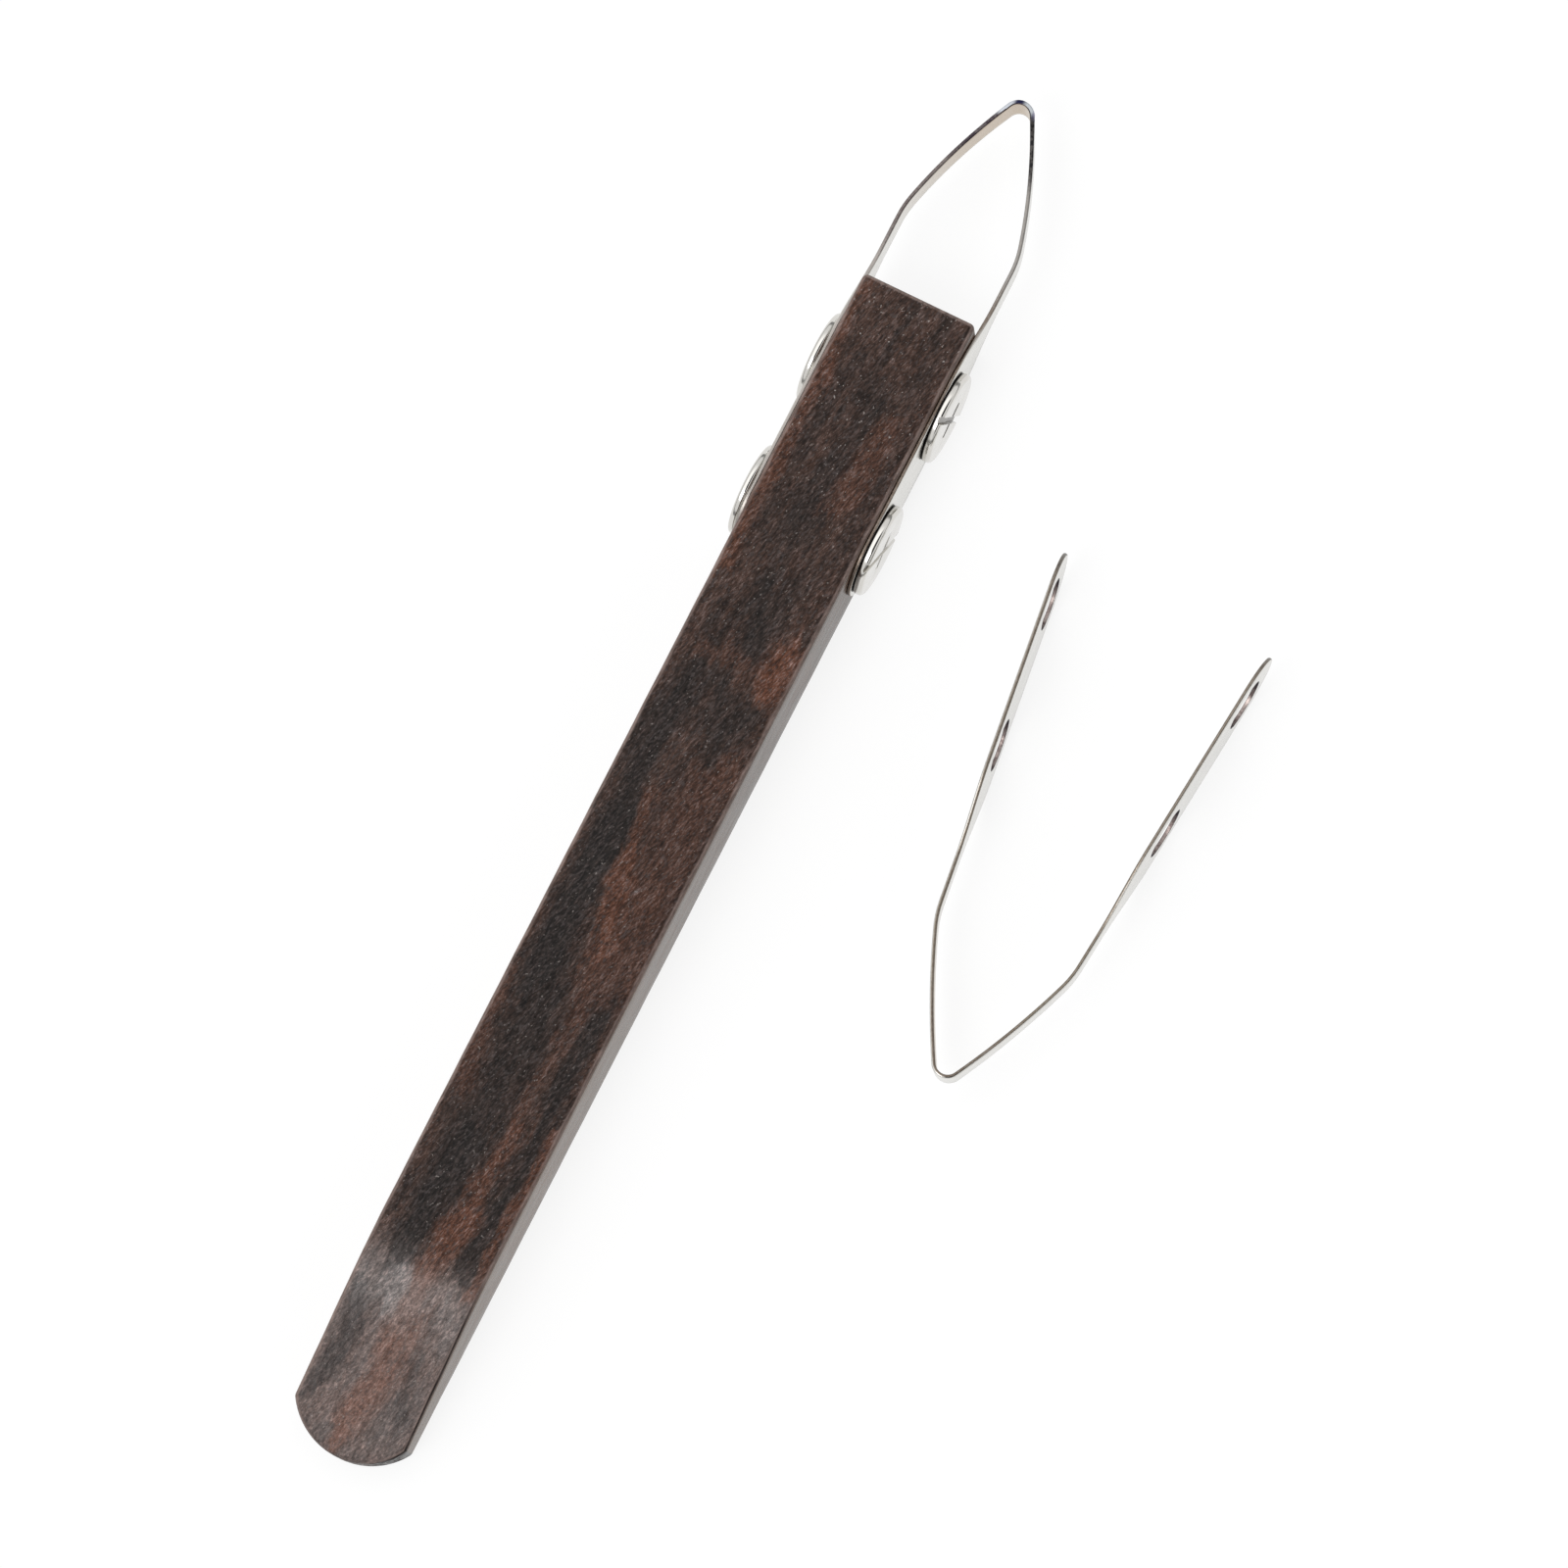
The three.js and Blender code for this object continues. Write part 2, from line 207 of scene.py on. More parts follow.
def shell(rows, columns, rings, point):
    """A closed skin over a long outline. point(row, across, inset, level) gives a place: row runs
    along the outline, across runs from -1 to 1, and each ring is an inset from the outline's
    edge and a level through the thickness. The first and last rings are filled with a grid. The
    edge's faces take the second material."""
    bm = bmesh.new()
    fractions = [2 * j / columns - 1 for j in range(columns + 1)]
    last = rows - 1
    edge = [(0, j) for j in range(columns)]
    edge += [(i, columns) for i in range(last)]
    edge += [(last, j) for j in range(columns, 0, -1)]
    edge += [(i, 0) for i in range(last, 0, -1)]
    loops = []
    for inset, level in rings:
        loops.append([bm.verts.new(point(i, fractions[j], inset, level)) for i, j in edge])
    count = len(edge)
    for low, high in zip(loops, loops[1:]):
        for k in range(count):
            wall = bm.faces.new((low[k], low[(k + 1) % count], high[(k + 1) % count], high[k]))
            wall.material_index = 1
    for loop, (inset, level) in ((loops[0], rings[0]), (loops[-1], rings[-1])):
        grid = {place: vert for place, vert in zip(edge, loop)}
        for i in range(1, last):
            for j in range(1, columns):
                grid[i, j] = bm.verts.new(point(i, fractions[j], inset, level))
        for i in range(last):
            for j in range(columns):
                bm.faces.new((grid[i, j], grid[i, j + 1], grid[i + 1, j + 1], grid[i + 1, j]))
    bmesh.ops.remove_doubles(bm, verts=bm.verts, dist=WELD)
    return bm


def rounded_rings(radius, low, high, steps):
    """Rings that round the lower and the upper edge of a shell."""
    turns = [math.pi / 2 * k / steps for k in range(steps + 1)]
    rings = [(radius * (1 - math.sin(t)), low + radius * (1 - math.cos(t))) for t in turns]
    rings += [(radius * (1 - math.cos(t)), high - radius * (1 - math.sin(t))) for t in turns]
    return rings


def turn(profile, steps, tooth=None):
    """Turns a closed profile of (radius, height) about the Y axis. A tooth may change a radius
    with the height and the angle."""
    bm = bmesh.new()
    loops = []
    for radius, height in profile:
        if radius == 0:
            loops.append([bm.verts.new((0, height, 0))] * steps)
            continue
        loop = []
        for k in range(steps):
            angle = 2 * math.pi * k / steps
            r = tooth(radius, height, angle) if tooth else radius
            loop.append(bm.verts.new((r * math.sin(angle), height, r * math.cos(angle))))
        loops.append(loop)
    for a, b in zip(loops, loops[1:]):
        for k in range(steps):
            corners = (a[k], a[(k + 1) % steps], b[(k + 1) % steps], b[k])
            apart = list(dict.fromkeys(corners))
            if len(apart) > 2:
                bm.faces.new(apart)
    return bm


def block(size, centre, spin):
    """A box turned about Y, for cutting a slot."""
    bm = bmesh.new()
    bmesh.ops.create_cube(bm, size=1)
    matrix = Matrix.Translation(centre) @ Matrix.Rotation(spin, 4, "Y")
    bmesh.ops.transform(bm, matrix=matrix @ Matrix.Diagonal((*size, 1)), verts=bm.verts)
    return bm


# Nodes

class Nodes:
    """Short ways to add and join the nodes of a new material or world."""

    def __init__(self, owner, output="ShaderNodeOutputMaterial"):
        self.owner = owner
        owner.use_nodes = True
        self.tree = owner.node_tree
        self.tree.nodes.clear()
        self.output = self.tree.nodes.new(output)
        self.coordinates = self.tree.nodes.new("ShaderNodeTexCoord")
        self.place = self.coordinates.outputs["Object"]

    def join(self, source, socket):
        if isinstance(source, bpy.types.NodeSocket):
            self.tree.links.new(source, socket)
        else:
            socket.default_value = source

    def math(self, operation, *values, clamp=False):
        node = self.tree.nodes.new("ShaderNodeMath")
        node.operation = operation
        node.use_clamp = clamp
        for socket, value in zip(node.inputs, values):
            self.join(value, socket)
        return node.outputs[0]

    def vector(self, operation, *values):
        node = self.tree.nodes.new("ShaderNodeVectorMath")
        node.operation = operation
        for socket, value in zip(node.inputs, values):
            if value is not None:
                self.join(value, socket)
        return node.outputs[1 if operation in ("LENGTH", "DOT_PRODUCT") else 0]

    def parts(self, vector):
        node = self.tree.nodes.new("ShaderNodeSeparateXYZ")
        self.join(vector, node.inputs[0])
        return node.outputs

    def noise(self, size, detail=2.0, roughness=0.5, turn=0.0):
        """Noise with grains of a size in millimetres along X, Y and Z, turned about Z."""
        place = self.tree.nodes.new("ShaderNodeMapping")
        place.vector_type = "TEXTURE"
        self.join(self.place, place.inputs["Vector"])
        place.inputs["Rotation"].default_value = (0, 0, -turn)
        place.inputs["Scale"].default_value = [length * MM for length in size]
        node = self.tree.nodes.new("ShaderNodeTexNoise")
        self.join(place.outputs[0], node.inputs["Vector"])
        for name, value in (("Scale", 1.0), ("Detail", detail), ("Roughness", roughness)):
            node.inputs[name].default_value = value
        return node.outputs["Fac"]

    def ramp(self, value, low, high, bottom=0.0, top=1.0):
        """From bottom where the value is low to top where it is high, with soft ends."""
        node = self.tree.nodes.new("ShaderNodeMapRange")
        node.interpolation_type = "SMOOTHSTEP"
        self.join(value, node.inputs["Value"])
        for name, number in (("From Min", low), ("From Max", high), ("To Min", bottom),
                             ("To Max", top)):
            self.join(number, node.inputs[name])
        return node.outputs[0]

    def span(self, value, low, high, bottom=0.0, top=1.0):
        """A ramp between two places in millimetres."""
        return self.ramp(value, low * MM, high * MM, bottom, top)

    def times(self, *values):
        product = values[0]
        for value in values[1:]:
            product = self.math("MULTIPLY", product, value)
        return product

    def between(self, share, low, high):
        """The low value where the share is 0, and the high one where it is 1."""
        return self.ramp(share, 0, 1, low, high)

    def mix(self, factor, a, b, blend="MIX"):
        node = self.tree.nodes.new("ShaderNodeMix")
        node.data_type = "RGBA"
        node.blend_type = blend
        self.join(factor, node.inputs[0])
        for value, socket in ((a, node.inputs[6]), (b, node.inputs[7])):
            self.join(value if isinstance(value, bpy.types.NodeSocket) else (*value, 1), socket)
        return node.outputs[2]

    def bump(self, height, strength, distance):
        node = self.tree.nodes.new("ShaderNodeBump")
        node.inputs["Strength"].default_value = strength
        node.inputs["Distance"].default_value = distance * MM
        self.join(height, node.inputs["Height"])
        return node.outputs[0]

    def principled(self, **inputs):
        node = self.tree.nodes.new("ShaderNodeBsdfPrincipled")
        for name, value in inputs.items():
            self.join(value, node.inputs[name.replace("_", " ")])
        self.tree.links.new(node.outputs[0], self.output.inputs["Surface"])


def linear(red, green, blue):
    """An 8-bit display colour as the linear numbers that a shader takes."""
    def channel(value):
        value /= 255
        return value / 12.92 if value <= 0.04045 else ((value + 0.055) / 1.055) ** 2.4
    return channel(red), channel(green), channel(blue)


# Soft streaks in the wood, seen from above: from (x, y) to (x, y), half width and strength
RUSSET_STREAKS = (
    (-5.9, 63, -5.7, 30, 0.9, 0.7), (2.8, 50, 2.4, 41, 1.2, 0.5), (4.6, 25.5, 4.2, 22.5, 1.7, 1.0),
    (-3, 23, 1, 22.5, 1.0, 0.3), (3, 12, 3.5, -12, 2.4, 0.35), (-1.2, 8, -0.6, 2, 0.9, 0.5),
    (-0.6, 2, 1.6, -9, 1.0, 0.8), (1.6, -9, 2.0, -18, 0.8, 0.4), (1.8, -18, 1.7, -27, 0.6, 0.3),
    (1.9, -27, 1.4, -38, 0.8, 0.7), (1.4, -38, 0.3, -45, 1.4, 0.9), (0.3, -45, 0.8, -55, 1.6, 0.9),
    (0.8, -55, -0.6, -61, 1.4, 1.0), (5.8, -26, 5.9, -43, 0.6, 0.6),
    (-5.2, -14, -5.2, -27, 1.0, 0.35),
)
CHARCOAL_STREAKS = (
    (0.2, 54, 0.2, 40, 1.4, 0.5), (-0.5, 31, 1.5, 24, 1.4, 0.8), (-3, 20, 3, 18, 1.6, 0.7),
    (-3.5, 19, -3.3, 4, 1.5, 0.85), (-3.3, 4, -2.8, -14, 1.7, 1.0), (3.5, 20, 4.5, 14, 1.4, 0.5),
    (-1.5, -14, -1.5, -30, 2.0, 0.8), (-1.8, -30, -1.9, -43, 2.1, 1.0),
    (4.0, -12, 4.2, -43, 0.9, 0.85), (-4.6, -47, -4.4, -57, 1.0, 0.9),
    (3.2, -53, 3.6, -59, 1.1, 0.7),
)
# A painted highlight on the facet, laid out like the streaks
HIGHLIGHT_STREAKS = ((-1.7, -45.5, -1.5, -48, 1.3, 1.0), (-4.5, -46.5, 5, -46.5, 2.6, 0.45))
STREAK_CORE, STREAK_FRINGE = 0.3, 1.7  # shares of its half width between which a streak fades

# The wood's colours, as linear numbers
DARK_WOOD = (0.035, 0.0215, 0.0172)
BROWN_WOOD = (0.066, 0.0355, 0.026)
CHARCOAL = (0.020, 0.0155, 0.0140)
RUSSET = (0.125, 0.049, 0.028)
# A painted sheen and a painted highlight for the facet
FACET_SHEEN = (0.102, 0.087, 0.083)
FACET_HIGHLIGHT = (0.34, 0.325, 0.32)
SAWN_DARK = (0.050, 0.028, 0.020)
SAWN_PALE = (0.180, 0.098, 0.066)
PALE_STRAND_TINT = (1.3, 0.93, 0.86)
GREY_FLECK = (0.085, 0.070, 0.069)
# A painted glint of the fibres, and a painted sheen on the sides
FIBRE_GLINT = (0.36, 0.32, 0.30)
SIDE_SHEEN = (0.125, 0.085, 0.055)
# A painted highlight on the rounded edges, and painted shade in the facet's crease
EDGE_HIGHLIGHT = (0.32, 0.24, 0.215)
CREASE_SHADE = (0.018, 0.012, 0.010)
LUMINANCE = (0.3, 0.6, 0.1)

GRAIN_LEAN = 0.15  # the grain's turn from the handle's length, in radians
SWAY_ACROSS, SWAY_ALONG = 5, 14  # how far noise shifts the streaks


def streaks(n, rows, place):
    """How far a point lies inside the strongest of some soft streaks."""
    total = None
    for x0, y0, x1, y1, half, strength in rows:
        along = Vector((x1 - x0, y1 - y0, 0)) * MM
        offset = n.vector("SUBTRACT", place, (x0 * MM, y0 * MM, 0))
        share = n.vector("DOT_PRODUCT", offset, along / along.length_squared)
        share = n.math("ADD", share, 0, clamp=True)
        nearest = n.vector("SCALE", tuple(along), None, None, share)
        away = n.vector("LENGTH", n.vector("SUBTRACT", offset, nearest))
        inside = n.span(away, STREAK_FRINGE * half, STREAK_CORE * half, 0.0, strength)
        total = inside if total is None else n.math("MAXIMUM", total, inside)
    return total


def wood_material():
    """Dark wood with soft charcoal and russet streaks and a fine broken grain. The sawn sides are
    smoother than the top, and the facet on the butt is painted paler, as a painted sheen with a
    painted hazy highlight."""
    n = Nodes(bpy.data.materials.new("dark striped wood"))
    x, y, _ = n.parts(n.place)
    nx, ny, nz = n.parts(n.coordinates.outputs["Normal"])
    side = n.ramp(n.math("ABSOLUTE", nx), 0.7, 0.95)
    on_facet = n.ramp(ny, -0.06, -0.2)

    sway = n.noise((2.6, 9, 2.6), detail=4, roughness=0.65)
    hue = n.noise((1.6, 9, 1.6), detail=4, roughness=0.65, turn=GRAIN_LEAN)
    cloud = n.noise((0.5, 2.4, 0.5), detail=3, roughness=0.65, turn=GRAIN_LEAN)
    grit = n.noise((0.2, 0.75, 0.2), detail=2, roughness=0.85, turn=0.3)
    fibre = n.noise((0.5, 7, 0.5), detail=4, roughness=0.75, turn=0.02)
    pale = n.noise((0.2, 0.5, 0.2), detail=1, turn=0.35)
    speck = n.noise((0.2, 0.36, 0.2), detail=1, turn=0.5)

    # Streaks, shifted a little by noise
    shift = n.math("SUBTRACT", sway, 0.5)
    plan = n.tree.nodes.new("ShaderNodeCombineXYZ")
    n.join(n.math("MULTIPLY_ADD", shift, SWAY_ACROSS * MM, x), plan.inputs[0])
    n.join(n.math("MULTIPLY_ADD", shift, SWAY_ALONG * MM, y), plan.inputs[1])
    russet = streaks(n, RUSSET_STREAKS, plan.outputs[0])
    charcoal = streaks(n, CHARCOAL_STREAKS, plan.outputs[0])
    highlight = streaks(n, HIGHLIGHT_STREAKS, plan.outputs[0])
    colour = n.mix(n.ramp(hue, 0.38, 0.64), DARK_WOOD, BROWN_WOOD)
    colour = n.mix(charcoal, colour, CHARCOAL)
    colour = n.mix(russet, colour, RUSSET)

    # The facet's painted sheen, weaker on the streaks so that they show, its painted highlight,
    # and the sawn sides
    sheen = n.times(on_facet, n.between(charcoal, 1.0, 0.45), n.between(russet, 1.0, 0.7))
    colour = n.mix(sheen, colour, FACET_SHEEN, blend="ADD")
    colour = n.mix(n.times(highlight, on_facet, 0.5), colour, FACET_HIGHLIGHT)
    sawn = n.mix(n.ramp(fibre, 0.3, 0.7), SAWN_DARK, SAWN_PALE)
    colour = n.mix(n.times(side, 0.7), colour, sawn)

    # Grain: its brightest strands lose their red
    tone = n.math("MULTIPLY_ADD", n.math("SUBTRACT", cloud, 0.5), 3.0, -0.15)
    tone = n.math("MULTIPLY_ADD", n.math("SUBTRACT", grit, 0.5), n.between(side, 5.2, 3.0), tone)
    brightness = n.math("EXPONENT", n.times(tone, n.between(on_facet, 1.0, 0.6)))
    colour = n.vector("SCALE", colour, None, None, brightness)
    level = n.vector("DOT_PRODUCT", colour, LUMINANCE)
    greyed = n.vector("SCALE", PALE_STRAND_TINT, None, None, level)
    colour = n.mix(n.ramp(brightness, 0.9, 2.2, 0, 0.75), colour, greyed)
    colour = n.mix(n.ramp(pale, 0.5, 0.72, 0, 0.5), colour, GREY_FLECK)

    # Painted glints as bright specks, most towards the head, and a painted sheen that makes the
    # sides lighter towards the butt
    glinting = n.times(n.span(y, 30, 62, 0.45, 0.9), n.between(side, 1.0, 0.2))
    colour = n.mix(n.ramp(speck, 0.69, 0.77, 0, glinting), colour, FIBRE_GLINT)
    colour = n.mix(n.times(side, n.span(y, 30, -30, 0.35, 1.0)), colour, SIDE_SHEEN, blend="ADD")

    # Painted highlights along the rounded edges, and painted shade in a dark crease along the
    # facet's right edge
    tilt = n.math("MAXIMUM", n.math("ABSOLUTE", nx), ny)
    edge_highlight = n.times(n.ramp(tilt, 0.1, 0.5), n.ramp(nz, 0.15, 0.5),
                     n.ramp(cloud, 0.3, 0.7, 0.3, 0.8))
    colour = n.mix(edge_highlight, colour, EDGE_HIGHLIGHT)
    crease_shade = n.times(n.ramp(nx, 0.35, 0.6), n.ramp(nx, 0.999, 0.97), n.between(on_facet, 0.1, 1.0),
                     n.ramp(cloud, 0.35, 0.55, 0.75, 1.0))
    colour = n.mix(crease_shade, colour, CREASE_SHADE)

    # Relief and gloss: the sides are flatter and shinier
    flatter = n.between(side, 1.0, 0.12)
    height = n.times(n.math("ADD", n.times(grit, flatter), fibre), flatter)
    spread = n.ramp(fibre, 0.35, 0.65, n.between(side, 0.5, 0.85), n.between(side, 1.7, 1.2))
    rough = n.times(n.between(side, 0.42, 0.26), spread)
    n.principled(Base_Color=colour, Roughness=rough, Normal=n.bump(height, 0.6, 0.05),
                 Specular_IOR_Level=0.15)
    return n.owner


# Metals
EDGE_SMUDGE = 3  # how far noise shifts the edges' colours along the strip
BARE_GRAIN = (0.5, 0.46, 0.42)
BEVEL_MIDDLE = -1.4  # the ground bevel's middle, left of the crown's
BEVEL_TAPER = 0.6  # how fast it narrows away from there
# The bevel's colours are bands of painted highlight and painted dark reflection
BEVEL_BANDS = ((-1.4, -0.9), (-0.5, 0.1), (0.8, 1.2))  # where one bevel colour turns into the next
BRIGHT_FADE = 6  # the bright outer rounding comes in over this length


def outwardness(n, x):
    """How far a strip's surface faces out of the loop, from -1 to 1."""
    nx, ny, _ = n.parts(n.coordinates.outputs["Normal"])
    return n.math("MULTIPLY_ADD", nx, n.math("SIGN", x), ny)


def steel_material():
    """The strip's broad faces: bright spring steel, straw-coloured inside the crown. The piece's
    own frame has the crown at its origin."""
    n = Nodes(bpy.data.materials.new("spring steel"))
    x, y, _ = n.parts(n.place)
    along = n.noise((3, 3, 0.11), detail=3, roughness=0.6)
    smudge = n.noise((4.5, 6, 4), detail=3)
    face = n.mix(smudge, linear(226, 224, 219), linear(208, 207, 203))
    temper = n.mix(n.span(y, -20, -3), face, linear(186, 170, 150))
    colour = n.mix(n.ramp(outwardness(n, x), -0.2, -0.6), face, temper)
    rough = n.ramp(along, 0.3, 0.7, 0.2, 0.3)
    scratches = n.bump(along, 0.12, 0.02)
    n.principled(Base_Color=colour, Metallic=1.0, Roughness=rough, Normal=scratches)
    return n.owner


def edge_material(name, left, right, bevel_reflections, bright_from):
    """The strip's sheared edges, darker towards the crown, partly where heat has coloured them and
    partly by painted reflection, with a ground bevel on the outside of the crown that carries
    bands of painted highlight and painted dark reflection. Left and right are display colours at
    that half's tip, leg, arm and crown, which differ between the two halves by painted reflection,
    and bevel_reflections are the bevel's colours from left to right. From bright_from millimetres
    behind the crown on, the outer rounding is as bright as the face."""
    n = Nodes(bpy.data.materials.new(name))
    x, y, _ = n.parts(n.place)
    smudge = n.noise((2, 2.5, 2), detail=4, roughness=0.7)
    grain = n.noise((0.4, 0.4, 0.4), detail=2)
    place = n.math("MULTIPLY_ADD", n.math("SUBTRACT", smudge, 0.5), EDGE_SMUDGE * MM, y)

    def along(colours):
        tip, leg, arm, crown = (linear(*colour) for colour in colours)
        colour = n.mix(n.span(place, -55, -47), tip, leg)
        colour = n.mix(n.span(place, -22, -16), colour, arm)
        return n.mix(n.span(place, -9, -5.5), colour, crown)

    # The two halves' colours hold painted reflection as well as heat colour
    colour = n.mix(n.span(x, -1, 1), along(left), along(right))
    colour = n.mix(n.ramp(grain, 0.45, 0.6, 0, 0.3), colour, n.mix(0.5, colour, BARE_GRAIN))

    # The ground bevel: bands of painted highlight and a painted dark reflection
    outward = outwardness(n, x)
    aside = n.math("ABSOLUTE", n.math("SUBTRACT", x, BEVEL_MIDDLE * MM))
    reach = n.math("MULTIPLY_ADD", aside, -BEVEL_TAPER, y)
    ground = n.times(n.ramp(outward, 0.2, 0.4), n.span(reach, -3.2, -1.7))
    bright = linear(*bevel_reflections[0])
    for (low, high), following in zip(BEVEL_BANDS, bevel_reflections[1:]):
        bright = n.mix(n.span(x, low, high), bright, linear(*following))
    colour = n.mix(ground, colour, bright)

    behind = n.span(y, -bright_from, -bright_from - BRIGHT_FADE)
    colour = n.mix(n.times(n.ramp(outward, 0.3, 0.6), behind), colour, linear(224, 222, 217))
    rough = n.between(ground, 0.38, 0.2)
    n.principled(Base_Color=colour, Metallic=1.0, Roughness=rough, Normal=n.bump(grain, 0.2, 0.01))
    return n.owner


def wall_material():
    """The punched walls of the strip's holes: rough, with painted shade where a wall does not face
    up, which makes them darkest at the two ends as seen from above."""
    n = Nodes(bpy.data.materials.new("punched wall"))
    up = n.parts(n.coordinates.outputs["Normal"])[2]
    smudge = n.noise((0.8, 0.8, 0.5), detail=4, roughness=0.7)
    torn = n.mix(n.ramp(smudge, 0.35, 0.65), linear(112, 98, 96), linear(176, 163, 158))
    # Painted shade on the walls that do not face up
    colour = n.mix(n.ramp(up, 0.35, 0.95), linear(44, 37, 42), torn)
    n.principled(Base_Color=colour, Metallic=1.0, Roughness=0.36, Normal=n.bump(smudge, 0.3, 0.02))
    return n.owner


def nickel_material(name, darkening_strength):
    """Bright plating, darker low in the slot, and with painted shade in a dark line where a head
    meets the strip. The piece's own Y axis is the fastener's axis, and its bearing face is at
    zero."""
    n = Nodes(bpy.data.materials.new(name))
    x, y, z = n.parts(n.place)
    smudge = n.noise((2, 2, 2), detail=3)
    lathe = n.noise((1.1, 0.17, 1.1), detail=2)
    colour = n.mix(smudge, linear(220, 218, 213), linear(206, 203, 198))
    radius = n.math("SQRT", n.math("ADD", n.times(x, x), n.times(z, z)))
    # Painted shade in a line where the head meets the strip, and a darker floor in the slot
    foot = n.times(n.span(y, 0.26, 0.18), n.span(y, -0.1, -0.02), n.span(radius, 2.8, 3.2))
    slot = n.times(n.span(y, 0.64, 0.52), n.span(y, 0.3, 0.4), n.span(radius, 4.6, 4.4, 0, 0.6))
    darkening = n.times(n.math("MAXIMUM", foot, slot), darkening_strength)
    colour = n.mix(darkening, colour, linear(38, 34, 32))
    rough = n.math("ADD", n.ramp(smudge, 0.35, 0.65, 0.07, 0.14), n.times(darkening, 0.4))
    rings = n.bump(lathe, 0.05, 0.01)
    n.principled(Base_Color=colour, Metallic=1.0, Roughness=rough, Normal=rings)
    return n.owner


# Handle

def handle_top():
    """The height of the top face at a place along the handle: a taper, a roll and the facet."""
    corner = (BUTT_END + FACET_LENGTH, FACET_THICKNESS)
    taper = (HEAD_THICKNESS - FACET_THICKNESS) / (HEAD_END - corner[0])
    facet = (FACET_THICKNESS - BUTT_THICKNESS) / FACET_LENGTH
    a, b = math.atan(taper), math.atan(facet)
    reach = FACET_ROLL_RADIUS * math.tan((b - a) / 2)
    start = corner[0] + reach * math.cos(a)
    stop = corner[0] - reach * math.cos(b)
    centre_y = start + FACET_ROLL_RADIUS * math.sin(a)
    centre_z = corner[1] + reach * math.sin(a) - FACET_ROLL_RADIUS * math.cos(a)

    def height(y):
        if y >= start:
            return corner[1] + taper * (y - corner[0])
        if y <= stop:
            return corner[1] + facet * (y - corner[0])
        return centre_z + math.sqrt(FACET_ROLL_RADIUS ** 2 - (y - centre_y) ** 2)
    return height


def handle_outline():
    """Stations down the handle's plan: place, half width and the edge's outward direction."""
    side = HANDLE_WIDTH / 2
    inner = BUTT_ARC_RADIUS - BUTT_CORNER_RADIUS
    corner_x = side - BUTT_CORNER_RADIUS
    slope = math.acos(corner_x / inner)
    arc_y = BUTT_END + BUTT_ARC_RADIUS
    corner_y = arc_y - inner * math.sin(slope)
    stations = []
    for k in range(QUARTER_STEPS + 1):
        t = (math.pi / 2 - slope) * k / QUARTER_STEPS
        stations.append((arc_y - BUTT_ARC_RADIUS * math.cos(t), BUTT_ARC_RADIUS * math.sin(t),
                         -math.cos(t), math.sin(t)))
    for k in range(1, CORNER_STEPS + 1):
        t = slope * (1 - k / CORNER_STEPS)
        stations.append((corner_y - BUTT_CORNER_RADIUS * math.sin(t),
                         corner_x + BUTT_CORNER_RADIUS * math.cos(t), -math.sin(t), math.cos(t)))
    first, last = corner_y, HEAD_END - HEAD_CORNER_RADIUS
    for k in range(1, HANDLE_ROWS):
        stations.append((first + (last - first) * k / HANDLE_ROWS, side, 0.0, 1.0))
    for k in range(CORNER_STEPS + 1):
        t = math.pi / 2 * k / CORNER_STEPS
        stations.append((last + HEAD_CORNER_RADIUS * math.sin(t),
                         side - HEAD_CORNER_RADIUS * (1 - math.cos(t)), math.sin(t), math.cos(t)))
    return stations


def make_handle(material):
    """The handle's skin. A ring's level is a lift, in edge radii, and a share of the height."""
    stations = handle_outline()
    top = handle_top()
    turns = [math.pi / 2 * k / HANDLE_EDGE_STEPS for k in range(HANDLE_EDGE_STEPS + 1)]
    rings = [(1 - math.sin(t), (-math.cos(t), 0)) for t in turns]
    rings += [(0, (0, k / HANDLE_WALL_STEPS)) for k in range(1, HANDLE_WALL_STEPS)]
    rings += [(1 - math.cos(t), (math.sin(t), 1)) for t in turns]
    short, long = EDGE_WAVES

    def point(row, across, inset, level):
        y, half, out_y, out_x = stations[row]
        lift, share = level
        radius = EDGE_RADIUS * (1 + EDGE_WAVER * math.sin(y * short) * math.sin(y * long + 1))
        y -= inset * radius * out_y
        x = across * (half - inset * radius * out_x)
        middle = radius + (top(y) - 2 * radius) * share
        return Vector((x, y, middle + lift * radius))

    bm = shell(len(stations), HANDLE_COLUMNS, rings, point)
    for face in bm.faces:
        face.material_index = 0  # wood all over
    handle = add_object("wooden_handle", bm, [material])
    cutters = []
    radius = BARREL_RADIUS + BORE_CLEARANCE
    ends = ((0, -HANDLE_WIDTH), (radius, -HANDLE_WIDTH), (radius, HANDLE_WIDTH), (0, HANDLE_WIDTH))
    for y in POST_PLACES:
        bore = turn(ends, BORE_SIDES)
        bmesh.ops.rotate(bore, matrix=Matrix.Rotation(math.pi / 2, 3, "Z"), verts=bore.verts)
        bmesh.ops.translate(bore, vec=(0, y, POST_HEIGHT), verts=bore.verts)
        cutters.append(add_object("bore", bore, [material]))
    cut(handle, cutters)
    shade(handle, HANDLE_SMOOTH_ANGLE)
    return handle


# Strips

